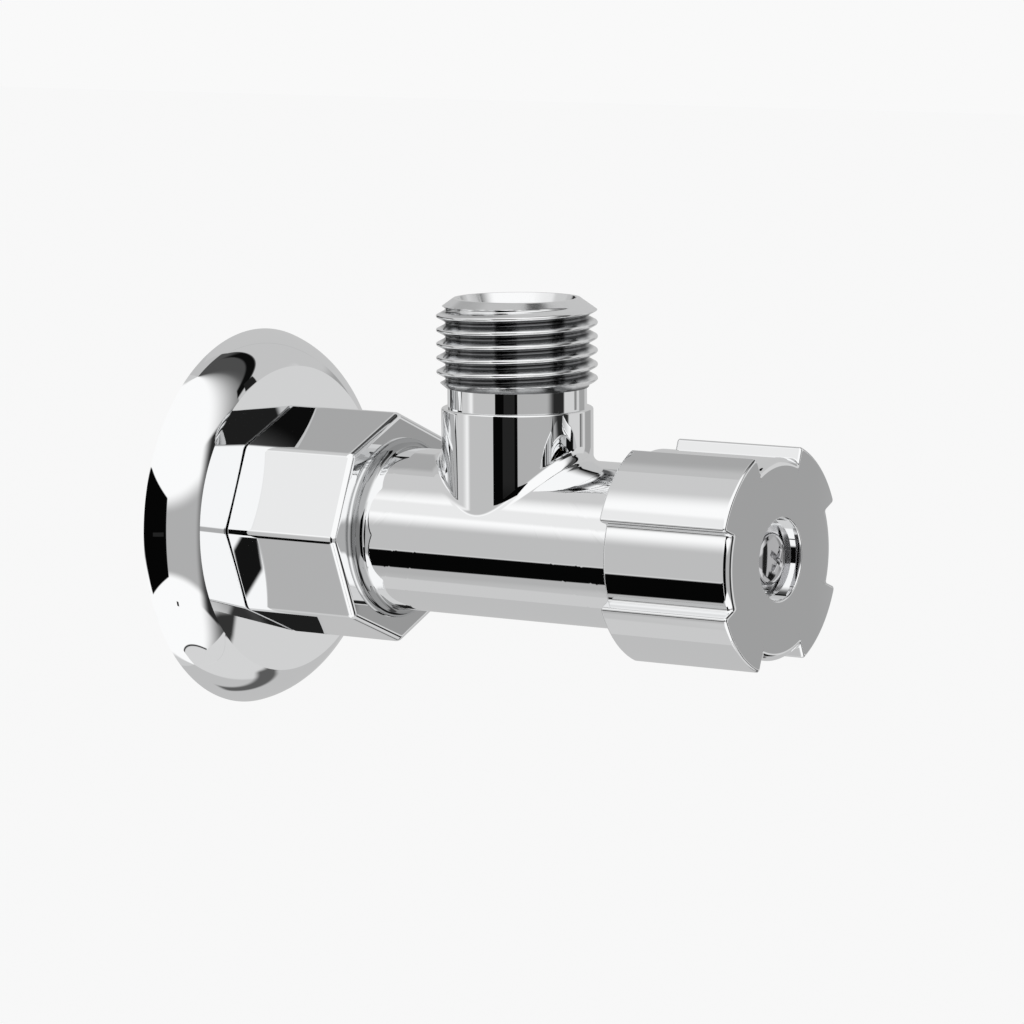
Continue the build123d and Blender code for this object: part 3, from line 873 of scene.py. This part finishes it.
class VALVE_OT_screw(bpy.types.Operator):
    """Build the domed cross-head screw"""

    bl_idname = "valve.screw"
    bl_label = "Knob Screw"

    def execute(self, context):
        s = context.scene.valve_knob
        head_r = s.screw_head
        dome_h, rim_h = 1.15 * MM, 0.75 * MM
        shank_r, point = 2.0 * MM, 0.4 * MM
        rim_x = SCREW_HIGH.x - dome_h
        columns = np.linspace(-pi, pi, 193)
        r = head_r * np.sin(np.radians(np.linspace(0, 90, 91)))[:, None]
        x = rim_x + dome_h * np.sqrt(np.maximum(1 - (r / head_r) ** 2, 0)) + 0 * columns

        # Cross recess: depth times a smooth step through its sloping walls, less towards the ends of the arms
        tilt = radians(35)
        across = r * np.cos(columns - tilt)
        along = r * np.sin(columns - tilt)
        arm, width, depth, wall = 1.75 * MM, 0.42 * MM, 1.0 * MM, 0.16 * MM
        first = np.maximum(np.abs(across) - arm, np.abs(along) - width)
        second = np.maximum(np.abs(along) - arm, np.abs(across) - width)
        sunk = np.clip(-np.minimum(first, second) / wall, 0, 1)
        taper = np.clip(1 - r / arm, 0, 1) ** 0.5
        x = x - depth * sunk * sunk * (3 - 2 * sunk) * taper
        dome = np.stack([x, r * np.sin(columns), r * np.cos(columns)], axis=-1)
        rest = chain(
            (rim_x, head_r),
            (rim_x - rim_h, head_r),
            (rim_x - rim_h, shank_r),
            (SCREW_LOW.x + point, shank_r),
            (SCREW_LOW.x, shank_r - point),
            (SCREW_LOW.x, 0),
        )
        make_piece("screw_body", [dome, about_x(rest, columns)], get_finish("bright_screw"),
                   KNOB, ["handle_screw"], sharp=45)
        return {"FINISHED"}


class VALVE_OT_inside(bpy.types.Operator):
    """Give the packed pieces, most of them inside the valve, their finishes"""

    bl_idname = "valve.inside"
    bl_label = "Inner Pieces"

    def execute(self, context):
        slots = {part["node"]: part["material_slot"] for part in frame["record"]["subparts"]}
        for name, node in frame["nodes"].items():
            node.data.materials.clear()
            node.data.materials.append(get_finish(slots[name]))
        return {"FINISHED"}


class ValveStage(bpy.types.PropertyGroup):
    """Camera and studio."""

    azimuth: FloatProperty(
        name="Azimuth", description="Camera's turn from looking along +Y",
        subtype="ANGLE", default=radians(33.478))
    elevation: FloatProperty(
        name="Elevation", description="Camera's height angle", subtype="ANGLE", default=radians(7.581))
    roll: FloatProperty(name="Roll", description="Camera's roll", subtype="ANGLE", default=radians(-0.308))
    distance: FloatProperty(name="Distance", description="Camera to target", unit="LENGTH", default=0.64575)
    target: FloatVectorProperty(
        name="Target", description="Point at the picture's middle", subtype="XYZ", size=3,
        default=(0.04102, 0.0, 0.003262))
    lens: FloatProperty(name="Lens", description="Focal length in millimetres", default=174.4)
    floor_height: FloatProperty(
        name="Floor height", description="Height of the floor", unit="LENGTH", default=-0.30)
    floor_reach: FloatProperty(
        name="Floor reach", description="Half the width of the floor", unit="LENGTH", default=6.0)
    backdrop: FloatProperty(
        name="Backdrop", description="Lightness of floor and backdrop", default=0.947, min=0.0, max=1.0)
    tent: FloatProperty(
        name="Light tent", description="Lightness of the white tent round the valve, as displayed",
        default=1.0, min=0.0, max=1.0)


# Grey and black cards of the light tent, laid one over the other. Sides are azimuths, counted from +X
# towards +Y, top and bottom are elevations, all in degrees. A pair for top or bottom gives it at the left
# and the right side. Soft is the width over which each edge fades in: left, right, top, bottom. Grey is the
# lightness as displayed.
Card = namedtuple("Card", "name left right top bottom soft grey")
STUDIO_CARDS = [
    Card("far left", -200, -134, (95, 95), (-95, -95), (1, 16, 1, 1), 0.80),
    Card("wall left", -200, -160, (12, 12), (-26, -26), (1, 2, 4, 4), 0.05),
    Card("left high", -142, -96, (39, 39), (21, 21), (3, 3, 4, 4), 0.93),
    Card("left horizon", -140, -93, (21, 21), (-21, -21), (8, 2, 14, 3), 0.75),
    Card("left low grey", -152, -100, (-36, -36), (-58, -58), (3, 10, 2, 14), 0.70),
    Card("left low", -150, -97, (-19, -19), (-39.5, -39.5), (2, 2, 1.5, 1), 0.02),
    Card("right side", 28, 200, (95, 95), (-95, -95), (6, 1, 1, 1), 0.75),
    Card("wall right", 142, 200, (12, 12), (-26, -26), (2, 1, 4, 4), 0.05),
    Card("right back", 104, 172, (62, 62), (22, 22), (14, 14, 8, 12), 0.66),
    Card("upper dark", -6, 100, (95, 95), (14, 14), (46, 2, 1, 10), 0.3),
    Card("upper right low", 27, 90, (29.5, 67), (-20, -20), (1, 1, 1, 1), 0.77),
    Card("upper right high", 89, 130, (66.5, 77), (-20, -20), (1, 1, 1, 1), 0.77),
    Card("arc", 26, 84, (38, 76), (29, 63.5), (1, 12, 3, 0.7), 0.05),
    Card("horizon grey", -58, 6, (15, 15), (-30, -30), (1, 2, 11, 5), 0.69),
    Card("black", -94.5, -56, (31.5, 13), (-41, -29.5), (1.2, 1.2, 1, 1), 0.02),
    Card("black middle", -79.5, -60.5, (-5, -5), (-7.6, -7.6), (1, 1, 0.4, 0.4), 0.14),
    Card("low dark", -9, 40, (-27, -27), (-66, -66), (34, 2, 4, 1), 0.24),
    Card("low middle line", -80, 0, (-78, -62), (-95, -95), (2, 0.5, 1, 1), 0.2),
    Card("low middle", -80, 0, (-79.5, -63.5), (-95, -95), (2, 0.5, 1, 1), 0.84),
    Card("low right", -0.5, 22, (-64, -34), (-95, -95), (0.5, 0.5, 1, 1), 0.84),
    Card("low far right", 21.5, 70, (-37, -37), (-95, -95), (0.5, 6, 1.5, 1), 0.84),
    Card("low right dark", 54, 114, (-31, -59), (-48, -72), (5, 8, 4, 5), 0.36),
    Card("front dark", -8, 29, (28, 28), (-36, -36), (15, 2, 4, 2), 0.16),
    Card("front light", 25, 68, (26, 26), (-36, -36), (5, 3, 6, 3), 0.83),
    Card("front grey", 67, 92, (16, 16), (-20, -20), (2, 2, 6, 6), 0.63),
    Card("front patch", 51.5, 61.5, (-3.2, -3.2), (-12, -12), (1.5, 1.5, 1.5, 1.5), 0.63),
    Card("front low", 36, 66, (-20, -20), (-38, -38), (3, 3, 3, 3), 0.12),
    Card("high patch", 32.3, 41, (36.8, 36.8), (28.5, 28.5), (0.6, 0.8, 0.8, 0.6), 0.12),
    Card("low side patch", 44.2, 48.3, (-11.5, -11.5), (-23, -23), (0.8, 0.6, 0.6, 1), 0.2),
    Card("low left patch", -49.3, -45.4, (-42.1, -42.1), (-45.3, -45.3), (0.4, 0.4, 0.4, 0.4), 0.08),
    Card("octagon patch", 54.2, 56.4, (-5.6, -5.6), (-10.2, -10.2), (0.3, 0.3, 0.4, 0.4), 0.6),
    Card("octagon side", 53.4, 54.75, (-5.6, -5.6), (-10.2, -10.2), (0.2, 0.15, 0.4, 0.4), 0.12),
]


def as_light(displayed):
    """Light that is displayed at the given lightness: ((v + 0.055) / 1.055) to the power 2.4."""
    return ((displayed + 0.055) / 1.055) ** 2.4


def add_camera(s):
    """Camera on a sphere about the target: back is (sin a cos e, -cos a cos e, sin e), level is
    (cos a, sin a, 0) and rise their cross product. The roll turns level and rise into right and up."""
    a, e, roll = s.azimuth, s.elevation, s.roll
    back = Vector((sin(a) * cos(e), -cos(a) * cos(e), sin(e)))
    level = Vector((cos(a), sin(a), 0.0))
    rise = back.cross(level)
    right = level * cos(roll) + rise * sin(roll)
    up = rise * cos(roll) - level * sin(roll)
    data = bpy.data.cameras.new("photo_camera")
    data.lens = s.lens
    data.sensor_width = 36.0
    data.clip_start = 0.01
    data.clip_end = 100.0
    camera = bpy.data.objects.new("photo_camera", data)
    place = Vector(s.target) + back * s.distance
    camera.matrix_world = Matrix((right, up, back)).transposed().to_4x4()
    camera.matrix_world.translation = place
    bpy.context.scene.collection.objects.link(camera)
    bpy.context.scene.camera = camera


def card_group():
    """Node group that lays one soft card over the light: mask is the product of four smooth steps at its
    edges, and the light becomes light (1 - mask) + card light times mask."""
    labels = ("Light", "Azimuth", "Elevation", "Left", "Left Full", "Right", "Right Full", "Top Left",
              "Top Right", "Bottom Left", "Bottom Right", "Top Soft", "Bottom Soft", "Card Light")
    group, given, result = new_group("studio_card", dict.fromkeys(labels, 0.0), {"Light": "Float"})
    azimuth, elevation, left, right = (given[label] for label in ("Azimuth", "Elevation", "Left", "Right"))

    def edge(side):
        inputs = {"Value": azimuth, "From Min": left, "From Max": right,
                  "To Min": given[side + " Left"], "To Max": given[side + " Right"]}
        return add_node(group, "MapRange", inputs).outputs["Result"]

    below_top = calculate(group, "SUBTRACT", edge("Top"), elevation)
    above_bottom = calculate(group, "SUBTRACT", elevation, edge("Bottom"))
    mask = 1.0
    for value, start, end in ((azimuth, left, given["Left Full"]), (azimuth, right, given["Right Full"]),
                              (below_top, 0.0, given["Top Soft"]), (above_bottom, 0.0, given["Bottom Soft"])):
        mask = calculate(group, "MULTIPLY", mask, smooth_step(group, value, start, end))
    blend = add_node(group, "Mix", {0: mask, 2: given["Light"], 3: given["Card Light"]})
    group.links.new(blend.outputs[0], result["Light"])
    return group


def add_tent(s):
    """World that is a white light tent with the studio cards. The camera sees the plain backdrop instead."""
    world = bpy.data.worlds.new("studio")
    bpy.context.scene.world = world
    world.use_nodes = True
    tree = world.node_tree
    tent = tree.nodes["Background"]
    direction = add_node(tree, "TexCoord").outputs["Generated"]
    parts = add_node(tree, "SeparateXYZ", {0: direction}).outputs
    azimuth = calculate(tree, "DEGREES", calculate(tree, "ARCTAN2", parts["Y"], parts["X"]))
    elevation = calculate(tree, "DEGREES", calculate(tree, "ARCSINE", parts["Z"]))
    light = as_light(s.tent)
    group = card_group()
    for card in STUDIO_CARDS:
        inputs = {
            "Light": light, "Azimuth": azimuth, "Elevation": elevation,
            "Left": card.left, "Left Full": card.left + card.soft[0],
            "Right": card.right, "Right Full": card.right - card.soft[1],
            "Top Left": card.top[0], "Top Right": card.top[1],
            "Bottom Left": card.bottom[0], "Bottom Right": card.bottom[1],
            "Top Soft": card.soft[2], "Bottom Soft": card.soft[3],
            "Card Light": as_light(card.grey),
        }
        light = add_node(tree, "Group", inputs, node_tree=group, label=card.name).outputs["Light"]
    set_inputs(tent, {"Color": light})
    backdrop = add_node(tree, "Background", {"Color": (s.backdrop, s.backdrop, s.backdrop, 1.0)})
    seen = add_node(tree, "LightPath").outputs["Is Camera Ray"]
    choice = add_node(tree, "MixShader", {0: seen, 1: tent.outputs[0], 2: backdrop.outputs[0]})
    set_inputs(tree.nodes["World Output"], {"Surface": choice.outputs[0]})
    world.cycles.sampling_method = "NONE"


def add_floor(s):
    """Plain pale floor under the valve, as light as the backdrop. Metal shows the tent in its place."""
    glow_share = 0.97
    paper = (s.backdrop, s.backdrop, s.backdrop, 1.0)
    material, tree = new_material(
        "floor_paper", {"Base Color": paper, "Roughness": 0.9, "Specular IOR Level": 0.0})
    seen = add_node(tree, "LightPath").outputs["Is Camera Ray"]
    glow = add_node(tree, "Emission", {"Color": paper})
    plain = tree.nodes["Principled BSDF"]
    mix = add_node(tree, "MixShader", {0: calculate(tree, "MULTIPLY", seen, glow_share), 1: plain.outputs[0],
                                       2: glow.outputs[0]})
    set_inputs(tree.nodes["Material Output"], {"Surface": mix.outputs[0]})
    reach = s.floor_reach
    corners = [(-reach, -reach), (reach, -reach), (reach, reach), (-reach, reach)]
    mesh = bpy.data.meshes.new("floor")
    mesh.from_pydata([(x, y, s.floor_height) for x, y in corners], [], [(0, 1, 2, 3)])
    mesh.materials.append(material)
    floor = bpy.data.objects.new("floor", mesh)
    floor.visible_glossy = False
    bpy.context.scene.collection.objects.link(floor)


class VALVE_OT_stage(bpy.types.Operator):
    """Set up the camera, the floor and the light"""

    bl_idname = "valve.stage"
    bl_label = "Studio"

    def execute(self, context):
        s = context.scene.valve_stage
        add_camera(s)
        add_tent(s)
        add_floor(s)
        context.scene.view_settings.view_transform = "Standard"
        return {"FINISHED"}


class VALVE_PT_panel(bpy.types.Panel):
    """Lists the steps that build the valve"""

    bl_idname = "VALVE_PT_panel"
    bl_label = "Angle Shut-Off Valve"
    bl_space_type = "VIEW_3D"
    bl_region_type = "UI"
    bl_category = "Valve"

    def draw(self, context):
        for operator in STEPS:
            self.layout.operator(operator.bl_idname)
        for label, group in SETTINGS.items():
            box = self.layout.box()
            box.label(text=group.__doc__)
            settings = getattr(context.scene, label)
            for name in group.__annotations__:
                box.prop(settings, name)


SETTINGS = {
    "valve_finish": ValveFinish,
    "valve_body": ValveBody,
    "valve_thread": ValveThread,
    "valve_cover": ValveCover,
    "valve_knob": ValveKnob,
    "valve_stage": ValveStage,
}
STEPS = [VALVE_OT_body, VALVE_OT_threads, VALVE_OT_cover, VALVE_OT_knob, VALVE_OT_screw, VALVE_OT_inside,
         VALVE_OT_stage]
CLASSES = [*SETTINGS.values(), *STEPS, VALVE_PT_panel]


def register():
    for item in CLASSES:
        bpy.utils.register_class(item)
    for label, group in SETTINGS.items():
        setattr(bpy.types.Scene, label, PointerProperty(type=group))


def unregister():
    for label in SETTINGS:
        delattr(bpy.types.Scene, label)
    for item in reversed(CLASSES):
        bpy.utils.unregister_class(item)


def main():
    register()
    bpy.ops.valve.body()
    bpy.ops.valve.threads()
    bpy.ops.valve.cover()
    bpy.ops.valve.knob()
    bpy.ops.valve.screw()
    bpy.ops.valve.inside()
    bpy.ops.valve.stage()


if __name__ == "__main__":
    main()
